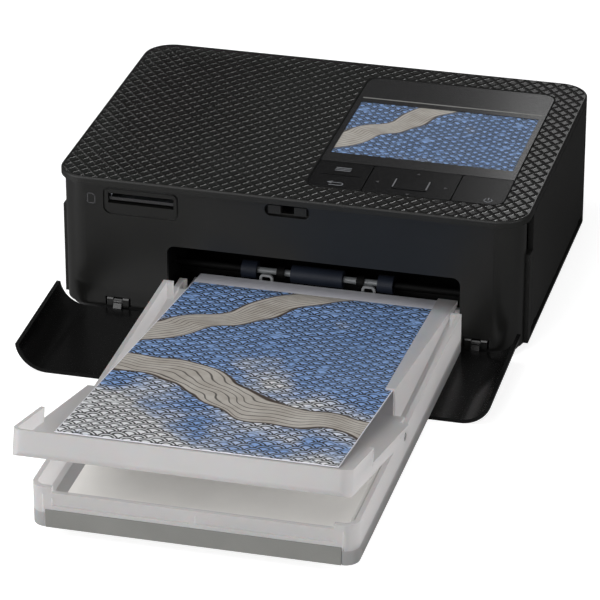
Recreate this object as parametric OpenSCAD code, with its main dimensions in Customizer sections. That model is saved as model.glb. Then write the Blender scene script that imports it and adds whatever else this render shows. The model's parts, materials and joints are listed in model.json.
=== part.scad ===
// Compact dye-sublimation photo printer with its paper cassette fitted and its front cover open.
// Millimetres, +Z up, -Y is the front. The origin is the middle of the footprint, on the table.
// Inside the modules y = 0 is the front of the printer body; place() moves it to the origin.

/* [Body] */
// Width of the printer body
body_w = 182.2; // [176:0.2:190]
// Depth of the printer body
body_d = 133; // [129:0.5:140]
// Height of the printer body above the table
body_h = 57.6; // [56.6:0.2:60]
// Radius of the upright corners
corner_r = 12; // [11:0.5:14]
// Wall thickness of the casings
case_wall = 2; // [1.6:0.1:2.2]
// Radius of the top cover's edge
top_edge_r = 0.8; // [0.6:0.1:1.4]
// Height of the top cover's rim
top_rim_h = 2.8; // [2.6:0.1:3.2]
// Height of the casing's lower edge above the table
case_low_z = 3; // [2.7:0.1:3.2]
// Seam between neighbouring casings
seam = 0.2; // [0.1:0.05:0.3]

/* [Front] */
// Thickness of the front cover's shell
cover_t = 1.5; // [1.4:0.1:1.7]
// Length of the front cover from its hinge to its free edge
cover_len = 51.6; // [50:0.1:51.8]
// How far the front cover's ends wrap round the body's corners
cover_wrap = 10.8; // [9:0.1:11]
// Downward slope of the open front cover, in degrees
cover_slope = 2; // [1.8:0.1:2]
// Width of the paper opening
mouth_w = 113.8; // [113.4:0.1:118]
// Height of the top edge of the paper opening
mouth_top_z = 31.8; // [30:0.2:34]
// Sideways offset of the paper path from the middle of the body
path_x = 9.8; // [8:0.1:11]
// Height of the finger notches at the front upright edges
notch_h = 14.6; // [12:0.2:17]

/* [Control panel] */
// Width of the control panel
panel_w = 75.3; // [75:0.1:80]
// Length of the control panel, front to back
panel_d = 105; // [104:0.5:106]
// Distance of the control panel's left edge from the middle of the body
panel_x = 3.8; // [2:0.2:5]
// Distance of the control panel's front edge from the front of the body
panel_y = 14.5; // [13:0.5:15]
// Depth of the row of keys, front to back
key_row_d = 23.2; // [22.5:0.1:24]
// Width of the display's picture
lcd_w = 71; // [66:0.5:71]
// Height of the display's picture
lcd_d = 49.4; // [44:0.2:52]
// Travel of a pressed key
key_travel = 0.5; // [0.3:0.1:0.6]

/* [Cassette] */
// Width of the paper cassette
tray_w = 115.7; // [115:0.1:117]
// How far the cassette reaches into the body
tray_in = 21; // [18:0.5:21.5]
// Height of the cassette's underside above the table
tray_low_z = 4; // [3.9:0.1:4.1]
// Height of the cassette's grey base
tray_base_h = 5.5; // [5:0.1:6]
// Height of the cassette's side walls, base included
tray_h = 15.6; // [15.2:0.1:15.8]
// Wall thickness of the cassette
tray_wall = 1.8; // [1.4:0.1:2]
// Angle of the raised output lid, in degrees
lid_angle = 14.2; // [13:0.2:15]
// How far the closed output lid reaches past the cassette's front
lid_over = 18.4; // [17:0.2:20]
// Height of the output lid's front lip above its floor
lid_lip_h = 5.2; // [4:0.2:6]

/* [Paper] */
// Width of a sheet
sheet_w = 100; // [98:0.5:100.4]
// Length of a sheet with its tear-off ends
sheet_len = 184; // [178:1:190]
// Thickness of the printed sheet
sheet_t = 0.3; // [0.2:0.05:0.4]
// Height of the stack of unused sheets
stack_h = 2; // [1:0.1:2.4]

/* [Mechanism] */
// Diameter of the feed roller's rubber rings
feed_d = 6.9; // [6.2:0.1:7.1]
// Diameter of the platen roller
platen_d = 8; // [7.6:0.1:8.2]
// Diameter of the ribbon wound on a spool
spool_d = 15; // [13:0.5:16]
// Module of the gear teeth
gear_m = 0.8; // [0.8:0.01:0.81]
// Clearance between a shaft and its bearing hole, on the radius
run_gap = 0.05; // [0.03:0.01:0.08]

/* [Hidden] */
$fn = 48;

// Levels of the body
top_seam_z = body_h - top_rim_h;
case_top_z = top_seam_z - seam;
half_w = body_w / 2;
case_front_y = cover_wrap + 0.7;
foot_h = 1.2;
foot_r = 6;
base_low_z = foot_h;
base_top_z = case_low_z + seam;
base_inset = case_wall + seam;
base_rim_h = 6;
base_rim_t = 1.6;

// Front panel, set back by the thickness of the closed front cover
front_set = cover_t + 0.05;
front_wing_y = case_front_y - seam;
notch_low_z = case_top_z - notch_h;
mouth_low_z = tray_low_z - 0.3;
mouth_r = 3;

// Card slot in the front panel
card_x = -57.1;
card_z = case_top_z - 5.3;
card_w = 25.8;
card_slot_h = 4.2;
bezel_w = 29.8;
bezel_h = 11.3;
bezel_z = card_z - 1.1;
bezel_groove = 0.7;
reader_d = 30;
reader_h = 5.6;
reader_low_z = card_z - 1;
reader_lip = 1.2;
card_gap = 2.3;

// Latch slot
latch_z = case_top_z - 2.9;
latch_w = 17.4;
latch_h = 5;
latch_tab_w = 4.8;
latch_tab_x = 5;

// Control panel
plate_t = 1.5;
plate_top_z = body_h - 0.1;
plate_low_z = plate_top_z - plate_t;
plate_r = 5;
plate_gap = 0.15;
plate_ledge = 2;
key_gap = 0.2;
key_top_z = plate_top_z - 0.1;
key_row_y0 = panel_y;
key_row_y1 = panel_y + key_row_d - 0.2;
key_split_a = panel_x + panel_w * 0.284;
key_split_b = panel_x + panel_w * 0.74;
panel_x1 = panel_x + panel_w;
panel_y1 = panel_y + panel_d;
lcd_x0 = panel_x + (panel_w - lcd_w) / 2;
lcd_y0 = panel_y + key_row_d + 8.2;
lcd_t = 1.2;
board_t = 1.6;
panel_board_z = plate_low_z - 3.4;
switch_h = 1.5;
stem_low_z = panel_board_z + switch_h + key_travel + 0.1;

// Cassette and paper
cass_x = path_x + 0.8;
tray_top_z = tray_low_z + tray_h;
base_edge_z = tray_low_z + tray_base_h;
tray_neck_w = mouth_w - 2.6;
neck_top_z = tray_low_z + 10;
shoulder_y = -3;
tray_corner_r = 5;
tray_room = 0.4;
tray_out = sheet_len + 2 * tray_wall + tray_room - tray_in;
neck_step_y = tray_in - 10;
neck_step_w = tray_neck_w / 2 - tray_wall - sheet_w / 2 - 0.7;
floor_t = 1.4;
inner_lid_z = tray_low_z + 7.7;
inner_lid_t = 1.2;
inner_lid_y0 = -85;
inner_lid_y1 = 4;
stack_low_z = tray_low_z + floor_t + 1.2;
platform_t = 0.8;
platform_y0 = -tray_out + 8;
lift_pin_r = 0.5;
lift_pin_len = 5;

// Output lid: a tray hinged inside the cassette's side walls
lid_pivot_y = -0.5713 * tray_out;
lid_len = tray_out + lid_pivot_y + lid_over;
lid_pivot_z = tray_top_z - 3.2;
lid_floor_h = 5;
lid_floor_t = 1.6;
lid_wall = 1.5;
lid_half_w = tray_w / 2 + 1.3;
lid_skirt = 4.5;
lid_skirt_u = 15;
lid_wide_u = 1.2;
lid_rear_u = -8;
lid_tab_u = 57;
lid_slit = 0.8;
lid_pin_r = 1.5;
lid_ear_w = 3;
lid_bend_r = 2.4;

// Printed sheet: from the paper path up to the output lid's floor
sheet_x = cass_x + 0.3;
sheet_rear_y = tray_in - 1.2;
sheet_rear_z = 12.1;
sheet_front_h = lid_floor_h + 0.2;
sheet_touch_u = lid_len - 18;
touch_y = lid_pivot_y - sheet_touch_u * cos(lid_angle) + sheet_front_h * sin(lid_angle);
touch_z = lid_pivot_z + sheet_touch_u * sin(lid_angle) + sheet_front_h * cos(lid_angle);
sheet_angle = atan2(touch_z - sheet_rear_z, sheet_rear_y - touch_y);

edge_gap = 0.4;
lip_t = 0.8;
lip_y0 = lid_pivot_y + 11.4;
lip_y1 = sheet_rear_y - 0.3;
lip_rear_w = 6.4;
lip_front_w = 2.4;
function lip_z(y) = sheet_rear_z + (sheet_rear_y - y) * tan(sheet_angle) + (sheet_t + 0.5) / cos(sheet_angle);

// Front edge of the whole object, which is the rounded lower edge of the output lid's lip
lid_front_y = lid_pivot_y - (lid_len - lid_bend_r) * cos(lid_angle)
    - (lid_skirt - lid_floor_h - lid_bend_r) * sin(lid_angle) - lid_bend_r;
mid_y = (body_d + lid_front_y) / 2;

// Front cover
cover_pin_y = 2.6;
cover_pin_z = 5.2;
cover_pin_r = 1.1;
cover_pin_x = 67;
cover_arm_w = 3.2;
cover_lug_w = 2.4;
cover_lug_gap = 0.3;
cover_half_w = half_w - 0.3;
cover_low = 3.1;
hinge_pocket_h = 7.5;
pocket_half_w = 5;

// Ink door in the right side
door_y0 = case_front_y + 5.2;
door_y1 = body_d - corner_r - 2;
door_low_z = case_low_z + 1.2;
door_t = case_wall;
door_pin_r = 1;
door_pin_x = half_w - door_t - door_pin_r - 0.6;
door_edge_r = door_t + door_pin_r + 0.6;
door_pin_z = door_low_z + door_edge_r;
door_frame_x = half_w - door_t - 5.4;
door_ears = [door_y0 + 5, door_y1 - 8];
ear_w = 3;
port_y0 = 34;
port_y1 = 104;
port_z0 = 15.6;
port_z1 = 40;

// Mechanism positions
frame_t = 1.2;
left_frame_x = path_x - mouth_w / 2 - 4.6;
right_frame_x = path_x + mouth_w / 2 + 2.4;
frame_y0 = 7;
frame_y1 = body_d - 15;
frame_top_z = card_z - reader_h / 2 - 2.4;
path_z = 13.6;
feed_y = 26;
feed_z = path_z;
shaft_r = 1.3;
platen_y = 64;
platen_z = path_z - platen_d / 2;
capstan_d = 4;
capstan_z = path_z - capstan_d / 2;
capstan_teeth = 10;
gear_play = 0.12;
capstan_step = gear_m * capstan_teeth + gear_play;
capstan_rise = asin((capstan_z - platen_z) / (2 * capstan_step));
capstan_y = platen_y + 2 * capstan_step * cos(capstan_rise);
pinch_d = 5;
pinch_z = path_z + 0.3 + pinch_d / 2;
supply_y = 46;
takeup_y = frame_y1 - 26;
spool_z = 27.4;
shell_wall = 1;
tube_r = spool_d / 2 + 2;
shell_x0 = left_frame_x + frame_t + 6;
shell_x1 = right_frame_x + 6;
core_r = 4;
hub_r = 2;
head_pivot_y = frame_y1 - 10;
head_pivot_z = 41.5;
head_rod_r = 1.5;
head_x0 = path_x - sheet_w / 2 - 1.5;
head_len = sheet_w + 3;

// Gears on the outer side of the left frame plate
gear_t = 4;
gear_x = left_frame_x - 1 - gear_t;
feed_teeth = 12;
idler_teeth = 45;
platen_teeth = 10;
motor_teeth = 10;
ribbon_teeth = 20;
idler_r = gear_m * idler_teeth / 2;
feed_reach = idler_r + gear_m * feed_teeth / 2 + gear_play;
platen_reach = idler_r + gear_m * platen_teeth / 2 + gear_play;
gear_base = norm([platen_y - feed_y, platen_z - feed_z]);
gear_base_angle = atan2(platen_z - feed_z, platen_y - feed_y);
gear_lift = acos((feed_reach * feed_reach + gear_base * gear_base - platen_reach * platen_reach)
    / (2 * feed_reach * gear_base));
idler_y = feed_y + feed_reach * cos(gear_base_angle + gear_lift);
idler_z = feed_z + feed_reach * sin(gear_base_angle + gear_lift);
idler_bore = 2;
step_bore = 1.4;
step_y = platen_y + capstan_step * cos(capstan_rise);
step_z = platen_z + capstan_step * sin(capstan_rise);
motor_angle = 20;
motor_reach = idler_r + gear_m * motor_teeth / 2 + gear_play;
motor_y = idler_y + motor_reach * cos(motor_angle);
motor_z = idler_z + motor_reach * sin(motor_angle);
motor_r = 10;
ribbon_angle = 32;
ribbon_reach = gear_m * (ribbon_teeth + motor_teeth) / 2 + gear_play;
ribbon_y = takeup_y + ribbon_reach * cos(ribbon_angle);
ribbon_z = spool_z + ribbon_reach * sin(ribbon_angle);
ribbon_motor_r = 8;

// Angle at which a gear with n teeth meshes with a driver that has m teeth and its tooth at phase,
// where reach is the direction from the driver's centre to the gear's centre
function mesh_phase(reach, phase, m, n) = reach + 180 - (phase - reach) * m / n - 180 / n;

module place() translate([0, -mid_y, 0]) children();

// Flat rounded rectangle from corner a to corner b, made of squares and circles
module round_rect(a, b, r) {
    translate([a[0] + r, a[1]]) square([b[0] - a[0] - 2 * r, b[1] - a[1]]);
    translate([a[0], a[1] + r]) square([b[0] - a[0], b[1] - a[1] - 2 * r]);
    for (x = [a[0] + r, b[0] - r]) for (y = [a[1] + r, b[1] - r]) translate([x, y]) circle(r);
}

// Body outline moved inwards by inset
module body_outline(inset) {
    round_rect([-half_w + inset, inset], [half_w - inset, body_d - inset], corner_r - inset);
}

module outline_wall(inset, wall, z0, z1) {
    translate([0, 0, z0]) linear_extrude(z1 - z0) difference() {
        body_outline(inset);
        body_outline(inset + wall);
    }
}

module box(a, b) translate(a) cube(b - a);

// Cylinder along X
module rod_x(x0, x1, y, z, r) translate([x0, y, z]) rotate([0, 90, 0]) cylinder(r = r, h = x1 - x0);

// Cylinder along Y
module rod_y(y0, y1, x, z, r) translate([x, y0, z]) rotate([-90, 0, 0]) cylinder(r = r, h = y1 - y0);

// Flat profile in the y-z plane, extruded along X from x0 to x1
module along_x(x0, x1) translate([x0, 0, 0]) rotate([90, 0, 90]) linear_extrude(x1 - x0) children();

// Flat profile in the x-z plane, extruded along +Y from y0 to y1
module along_y(y0, y1) translate([0, y1, 0]) rotate([90, 0, 0]) linear_extrude(y1 - y0) children();

// Spur gear blank with tapered teeth, its axis along X; phase turns it about that axis
module gear_x_axis(teeth, phase, bore) {
    pitch_r = gear_m * teeth / 2;
    root_r = pitch_r - gear_m;
    tip_r = pitch_r + gear_m * 0.9;
    tooth = 360 * pitch_r / teeth * PI / 180;
    rotate([90, 0, 90]) linear_extrude(gear_t) difference() {
        union() {
            circle(root_r);
            for (i = [0:teeth - 1]) rotate(phase + i * 360 / teeth)
                polygon([[root_r - 0.3, -tooth * 0.33], [pitch_r, -tooth * 0.23], [tip_r, -tooth * 0.11],
                    [tip_r, tooth * 0.11], [pitch_r, tooth * 0.23], [root_r - 0.3, tooth * 0.33]]);
        }
        if (bore > 0) circle(bore);
    }
}

// ---------------------------------------------------------------- casings

foot_x = half_w - 20;
feet = [[-foot_x, 18], [foot_x, 18], [-foot_x, body_d - 18], [foot_x, body_d - 18]];
screw_x = half_w - 10.6;
screw_spots = [[-screw_x, 40], [screw_x, 40], [-screw_x, body_d - 40], [screw_x, body_d - 40],
    [0, body_d - 10], [path_x, 42]];
screw_head_r = 3;
screw_r = 1.4;
tray_rib_w = 2;

module base_pan() color("#1b1b1b") place() difference() {
    union() {
        translate([0, 0, base_low_z]) linear_extrude(base_top_z - base_low_z) body_outline(base_inset + 1.4);
        outline_wall(base_inset + 1.4, base_rim_t, base_top_z, base_top_z + base_rim_h);
        for (x = [-0.42, 0.42]) box([cass_x + x * tray_neck_w - tray_rib_w / 2, 8, base_top_z - 0.1],
            [cass_x + x * tray_neck_w + tray_rib_w / 2, tray_in - 1, tray_low_z - 0.15]);
    }
    box([-half_w, -1, base_top_z], [half_w, front_wing_y + 1, base_top_z + base_rim_h + 1]);
    box([door_frame_x - 0.3, door_y0 - 3.3, base_top_z], [half_w, door_y1 + 3.3, base_top_z + base_rim_h + 1]);
    for (p = feet) translate([p[0], p[1], base_low_z - 1]) cylinder(r = foot_r + 0.2, h = 1.6);
    for (p = screw_spots) translate([p[0], p[1], base_low_z - 1]) {
        cylinder(r = screw_r + 0.1, h = 5);
        cylinder(r = screw_head_r + 0.2, h = 1.9);
    }
}

module rubber_feet() color("#2a2a2a") place() for (p = feet) translate([p[0], p[1], 0])
    rotate_extrude() polygon([[0, 0], [foot_r - 0.7, 0], [foot_r, 0.5], [foot_r, base_low_z + 0.55],
        [0, base_low_z + 0.55]]);

module base_screws() color("#8f8f8f") place() for (p = screw_spots) translate([p[0], p[1], base_low_z + 0.2])
    difference() {
        union() {
            cylinder(r = screw_head_r, h = 0.7);
            cylinder(r = screw_r, h = base_top_z - base_low_z + 0.4);
        }
        for (a = [0, 90]) rotate(a) translate([-1.6, -0.3, -0.1]) cube([3.2, 0.6, 0.5]);
    }

vent_x = [-half_w + 31.1, -half_w + 55.1];
vent_w = 18;
vent_z = 26;
vent_h = 1.6;
vent_pitch = 4;
vent_rows = 5;

module rear_vents() for (i = [0:vent_rows - 1]) for (x = vent_x)
    box([x, body_d - case_wall - 1, vent_z + i * vent_pitch],
        [x + vent_w, body_d + 1, vent_z + vent_h + i * vent_pitch]);

module outer_case() color("#232323") place() difference() {
    union() {
        difference() {
            outline_wall(0, case_wall, case_low_z, case_top_z);
            box([-half_w - 1, -1, 0], [half_w + 1, case_front_y, body_h]);
            for (s = [-1, 1]) box([s * half_w - 6, 0, notch_low_z], [s * half_w + 6, case_front_y + 5, body_h]);
            box([half_w - case_wall - 1, door_y0, door_low_z - 0.3], [half_w + 1, door_y1, body_h]);
            box([path_x - sheet_w / 2 - 3, body_d - case_wall - 1, 9.5],
                [path_x + sheet_w / 2 + 3, body_d + 1, 15.5]);
            rear_vents();
            box([jack_x - 4.6, body_d - 5, jack_z - 4.1], [jack_x + 4.6, body_d + 1, jack_z + 4.1]);
            box([usb_x - 5.2, body_d - 5, usb_z - 2.3], [usb_x + 5.2, body_d + 1, usb_z + 2.3]);
        }
        // Recessed jamb behind the ink door, with the cartridge port
        difference() {
            box([door_frame_x, door_y0 - 3, base_top_z + seam], [door_frame_x + 1.6, door_y1 + 3, case_top_z]);
            box([door_frame_x - 1, port_y0, port_z0], [door_frame_x + 3, port_y1, port_z1]);
            // Trough in which the door's lower edge turns
            for (y = [[door_y0 - 0.1, door_ears[0] - 0.3], [door_ears[0] + ear_w + 0.3, door_ears[1] - 0.3],
                [door_ears[1] + ear_w + 0.3, door_y1 + 0.1]])
                rod_y(y[0], y[1], door_pin_x, door_pin_z, door_edge_r + 0.3);
        }
        box([door_frame_x, door_y0 - 3, base_top_z + seam], [half_w - 1, door_y0 - 1.4, notch_low_z]);
        box([door_frame_x, door_y1 + 1.4, base_top_z + seam], [half_w - 1, door_y1 + 3, case_top_z]);
        box([door_frame_x + 1, door_y0 - 1.5, base_top_z + seam], [half_w - 0.4, door_y0 - 0.2, notch_low_z]);
        // Bearing ears for the door's hinge pins
        for (y = door_ears) difference() {
            union() {
                box([door_frame_x + 1.2, y, base_top_z + seam], [door_pin_x, y + ear_w, door_pin_z + 2]);
                box([door_pin_x - 0.1, y, door_pin_z], [half_w - door_t - 0.15, y + ear_w, door_pin_z + 2]);
                rod_y(y, y + ear_w, door_pin_x, door_pin_z, door_pin_r + 0.45);
            }
            rod_y(y - 1, y + ear_w + 1, door_pin_x, door_pin_z, door_pin_r + 0.01);
        }
    }
    for (s = [-1, 1]) box([s * (half_w - 1) - 3, door_y0 - 8, notch_low_z],
        [s * (half_w - 1) + 3, case_front_y + 5, body_h]);
}

module card_opening(grow, y0, y1) translate([card_x, 0, 0])
    box([-card_w / 2 - grow, y0, card_z - card_slot_h / 2 - grow],
        [card_w / 2 + grow, y1, card_z + card_slot_h / 2 + grow]);

module front_panel() color("#262626") place() difference() {
    union() {
        difference() {
            outline_wall(front_set, case_wall, case_low_z + 0.4, case_top_z);
            box([-half_w, front_wing_y, 0], [half_w, body_d, body_h]);
            for (x = cover_pin_spots) box([x - pocket_half_w, -1, 0],
                [x + pocket_half_w, front_set + case_wall + 0.1, hinge_pocket_h]);
        }
        // Thickened block behind the card slot and the latch
        box([card_x - bezel_w / 2 - 1, front_set + 1, bezel_z - bezel_h / 2 - 1],
            [card_x + bezel_w / 2 + 1, front_set + case_wall + 1.2, case_top_z - 1]);
        // Lugs that carry the front cover's pins
        for (x = cover_lug_spots) along_x(x - cover_lug_w / 2, x + cover_lug_w / 2)
            polygon([[1.2, case_low_z + 0.4], [1.2, 6.6], [front_set + 0.4, 7.3],
                [front_set + 0.4, hinge_pocket_h + 1.6], [cover_pin_y + 3.6, hinge_pocket_h + 1.6],
                [cover_pin_y + 3.6, case_low_z + 0.4]]);
    }
    // Paper opening
    translate([0, front_set + case_wall + 1, 0]) rotate([90, 0, 0]) linear_extrude(case_wall + 2)
        round_rect([path_x - mouth_w / 2, mouth_low_z - 6], [path_x + mouth_w / 2, mouth_top_z], mouth_r);
    // Card slot and the groove round its bezel
    card_opening(0, -1, 12);
    translate([0, front_set + bezel_groove, 0]) rotate([90, 0, 0]) linear_extrude(2) difference() {
        round_rect([card_x - bezel_w / 2, bezel_z - bezel_h / 2], [card_x + bezel_w / 2, bezel_z + bezel_h / 2], 3);
        round_rect([card_x - bezel_w / 2 + 0.8, bezel_z - bezel_h / 2 + 0.8],
            [card_x + bezel_w / 2 - 0.8, bezel_z + bezel_h / 2 - 0.8], 2.2);
    }
    // Latch slot
    translate([0, 12, 0]) rotate([90, 0, 0]) linear_extrude(14)
        round_rect([-latch_w / 2, latch_z - latch_h / 2], [latch_w / 2, latch_z + latch_h / 2], latch_h / 2 - 0.2);
    for (x = cover_pin_spots) rod_x(x - 5, x + 5, cover_pin_y, cover_pin_z, cover_pin_r + 0.01);
}
lug_offset = cover_arm_w / 2 + cover_lug_gap + cover_lug_w / 2;
cover_pin_spots = [-cover_pin_x, cover_pin_x + 6.2];
cover_lug_spots = [for (x = cover_pin_spots) for (d = [-1, 1]) x + d * lug_offset];

module top_cover() color("#2b2b2b") place() difference() {
    hull() for (x = [-half_w + corner_r, half_w - corner_r]) for (y = [corner_r, body_d - corner_r])
        translate([x, y, top_seam_z]) rotate_extrude($fn = 64) {
            square([corner_r - top_edge_r, top_rim_h]);
            square([corner_r, top_rim_h - top_edge_r]);
            translate([corner_r - top_edge_r, top_rim_h - top_edge_r]) circle(top_edge_r, $fn = 32);
        }
    // Hollow underside, leaving a rim and the ledge that carries the control panel
    translate([0, 0, top_seam_z - 0.1]) linear_extrude(1.2) difference() {
        body_outline(2.6);
        round_rect([panel_x - 2.5, panel_y - 2.5], [panel_x1 + 2.5, panel_y1 + 2.5], plate_r + 2);
    }
    translate([0, 0, plate_low_z - 0.1]) linear_extrude(4)
        round_rect([panel_x - plate_gap, panel_y - plate_gap], [panel_x1 + plate_gap, panel_y1 + plate_gap], plate_r);
    translate([0, 0, top_seam_z - 1]) linear_extrude(4)
        round_rect([panel_x + plate_ledge, panel_y + key_row_d + 2],
            [panel_x1 - plate_ledge, panel_y1 - plate_ledge], plate_r - plate_ledge);
    translate([0, 0, top_seam_z - 1]) linear_extrude(4) intersection() {
        round_rect([panel_x - plate_gap, panel_y - plate_gap], [panel_x1 + plate_gap, panel_y1 + plate_gap], plate_r);
        translate([0, panel_y - 1]) square([panel_x1 + 1, key_row_d + 3.2]);
    }
}

// ---------------------------------------------------------------- control panel

// Key outline between x0 and x1 in the key row
module key_outline(x0, x1, r) intersection() {
    round_rect([x0 + key_gap, key_row_y0 + 0.01], [x1 - key_gap, key_row_y1], r);
    round_rect([panel_x, panel_y], [panel_x1, panel_y1], plate_r);
}

module control_panel() color("#17181a") place() difference() {
    translate([0, 0, plate_low_z]) linear_extrude(plate_t)
        round_rect([panel_x, panel_y], [panel_x1, panel_y1], plate_r);
    box([panel_x - 1, panel_y - 1, plate_low_z - 1], [panel_x1 + 1, key_row_y1 + key_gap, body_h + 1]);
    box([lcd_x0 - 0.1, lcd_y0 - 0.1, plate_low_z - 1], [lcd_x0 + lcd_w + 0.1, lcd_y0 + lcd_d + 0.1, body_h + 1]);
}

module lcd_display() color("#9cc0e6") place() {
    box([lcd_x0, lcd_y0, plate_top_z - lcd_t - 0.2], [lcd_x0 + lcd_w, lcd_y0 + lcd_d, plate_top_z - 0.2]);
    box([lcd_x0 + 0.4, lcd_y0 - 3, plate_low_z - 2.2], [lcd_x0 + lcd_w - 0.4, lcd_y0 + lcd_d + 3, plate_low_z - 0.1]);
}

key_t = 1.3;
key_low_z = key_top_z - key_t;
ok_w = 13.4;
ok_d = 9.8;
ok_x = (key_split_a + key_split_b) / 2;
ok_y = (key_row_y0 + key_row_y1) / 2 - 1.6;

// Stem under a key, pressing its switch
module key_stem(p) translate([p[0], p[1], stem_low_z]) cylinder(r = 1.2, h = key_low_z - stem_low_z + 0.1);
rocker_y = (key_row_y0 + key_row_y1) / 2;
menu_stems = [[panel_x + 11, rocker_y + 6], [panel_x + 11, rocker_y - 6]];
nav_stems = [[ok_x - 11.5, ok_y], [ok_x + 11.5, ok_y]];
power_stem = [panel_x1 - 8, ok_y - 3];

module menu_back_key() color("#1c1d1f") place() {
    difference() {
        translate([0, 0, key_low_z]) linear_extrude(key_t)
            key_outline(panel_x - key_gap, key_split_a, 1.2);
        box([panel_x + 3, rocker_y - 0.25, key_top_z - 0.3], [key_split_a - 3, rocker_y + 0.25, key_top_z + 1]);
    }
    for (p = menu_stems) key_stem(p);
}

module nav_key() color("#1c1d1f") place() {
    difference() {
        translate([0, 0, key_low_z]) linear_extrude(key_t) difference() {
            key_outline(key_split_a, key_split_b, 1.2);
            round_rect([ok_x - ok_w / 2 - key_gap, ok_y - ok_d / 2 - key_gap],
                [ok_x + ok_w / 2 + key_gap, ok_y + ok_d / 2 + key_gap], 1.6 + key_gap);
        }
    }
    for (p = nav_stems) key_stem(p);
}

module ok_key() color("#2a2b2e") place() {
    translate([0, 0, key_low_z]) linear_extrude(key_t + 0.2)
        round_rect([ok_x - ok_w / 2, ok_y - ok_d / 2], [ok_x + ok_w / 2, ok_y + ok_d / 2], 1.6);
    key_stem([ok_x, ok_y]);
}

module power_key() color("#1c1d1f") place() {
    translate([0, 0, key_low_z]) linear_extrude(key_t)
        key_outline(key_split_b, panel_x1 + key_gap, 1.2);
    key_stem(power_stem);
}

module panel_board() color("#2f6b3a") place() difference() {
    union() {
        box([panel_x + 3, panel_y + 3, panel_board_z - board_t], [panel_x1 - 3, panel_y1 - 6, panel_board_z]);
        for (p = [[panel_x + 5, panel_y + key_row_d + 4.5], [panel_x1 - 5, panel_y + key_row_d + 4.5],
            [panel_x + 5, panel_y1 - 9], [panel_x1 - 5, panel_y1 - 9]])
            translate([p[0], p[1], panel_board_z - 0.1]) cylinder(r = 1.5, h = plate_low_z - panel_board_z - 2.3);
        // Switches under the keys
        for (p = concat(menu_stems, nav_stems, [power_stem, [ok_x, ok_y]]))
            translate([p[0] - 2.2, p[1] - 2.2, panel_board_z - 0.1]) cube([4.4, 4.4, switch_h + 0.1]);
    }
}

jack_x = -half_w + 25.1;
jack_z = 14;
usb_x = -half_w + 45.1;
usb_z = 13;

board_x0 = -half_w + 6;
board_x1 = head_x0 - 3;
board_y1 = frame_y1 - 2;
board_z1 = frame_top_z + 0.1 + board_t;

module main_board() color("#2f6b3a") place() {
    box([board_x0, 40, frame_top_z + 0.1], [board_x1, board_y1, board_z1]);
    for (p = [[0.3, 54], [0.55, 76]])
        box([board_x0 + p[0] * (board_x1 - board_x0), p[1], board_z1 - 0.1],
            [board_x0 + p[0] * (board_x1 - board_x0) + 12, p[1] + 12, board_z1 + 1.3]);
    for (d = [6, 14]) translate([board_x0 + d, board_y1 - 12, board_z1 - 0.1]) cylinder(r = 3, h = 3.4);
}

module card_reader() color("#b9bcc0") place() difference() {
    union() {
        box([card_x - bezel_w / 2 + 0.2, front_set + case_wall + 1.4, reader_low_z],
            [card_x + bezel_w / 2 - 0.2, front_set + case_wall + 1.4 + reader_d, reader_low_z + reader_h]);
        // Lip that reaches forward through the slot, below the card
        box([card_x - card_w / 2 + 0.3, front_set + 0.8, reader_low_z],
            [card_x + card_w / 2 - 0.3, front_set + case_wall + 1.5, reader_low_z + reader_lip]);
    }
    box([card_x - card_w / 2 + 0.6, 0, reader_low_z + reader_lip],
        [card_x + card_w / 2 - 0.6, front_set + case_wall + reader_d - 1, reader_low_z + reader_lip + card_gap]);
}

module latch_catch() color("#3a3a3a") place() difference() {
    union() {
        for (s = [-1, 1]) box([s * latch_tab_x - latch_tab_w / 2, front_set + 0.5, latch_z - latch_h / 2 + 0.8],
            [s * latch_tab_x + latch_tab_w / 2, front_set + case_wall + 1.6, latch_z + latch_h / 2 - 0.8]);
        box([-latch_w / 2 - 2, front_set + case_wall + 0.1, latch_z - latch_h / 2 - 1.6],
            [latch_w / 2 + 2, front_set + case_wall + 1.6, case_top_z - 0.3]);
    }
    box([0.1 + latch_tab_w / 2 - latch_tab_x, front_set, latch_z - latch_h / 2 + 0.6],
        [latch_tab_x - latch_tab_w / 2 - 0.1, front_set + 5, latch_z + latch_h / 2 - 0.6]);
}

module power_jack() color("#101010") place() difference() {
    box([jack_x - 4.4, body_d - 14, jack_z - 3.9], [jack_x + 4.4, body_d - 0.3, jack_z + 3.9]);
    rod_y(body_d - 10, body_d + 1, jack_x, jack_z, 2.8);
}

module usb_port() color("#c9ccd0") place() difference() {
    box([usb_x - 4.5, body_d - 9, usb_z - 1.6], [usb_x + 4.5, body_d - 0.3, usb_z + 1.6]);
    box([usb_x - 4.1, body_d - 7, usb_z - 1.2], [usb_x + 4.1, body_d + 1, usb_z + 1.2]);
}

// ---------------------------------------------------------------- mechanism

module shaft_bores(x, grow) {
    rod_x(x - 1, x + frame_t + 1, feed_y, feed_z, shaft_r + grow);
    rod_x(x - 1, x + frame_t + 1, platen_y, platen_z, shaft_r + grow);
    rod_x(x - 1, x + frame_t + 1, capstan_y, capstan_z, shaft_r + grow);
    rod_x(x - 1, x + frame_t + 1, capstan_y, pinch_z, shaft_r + grow);
    rod_x(x - 1, x + frame_t + 1, head_pivot_y, head_pivot_z, head_rod_r + 0.01);
}

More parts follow.
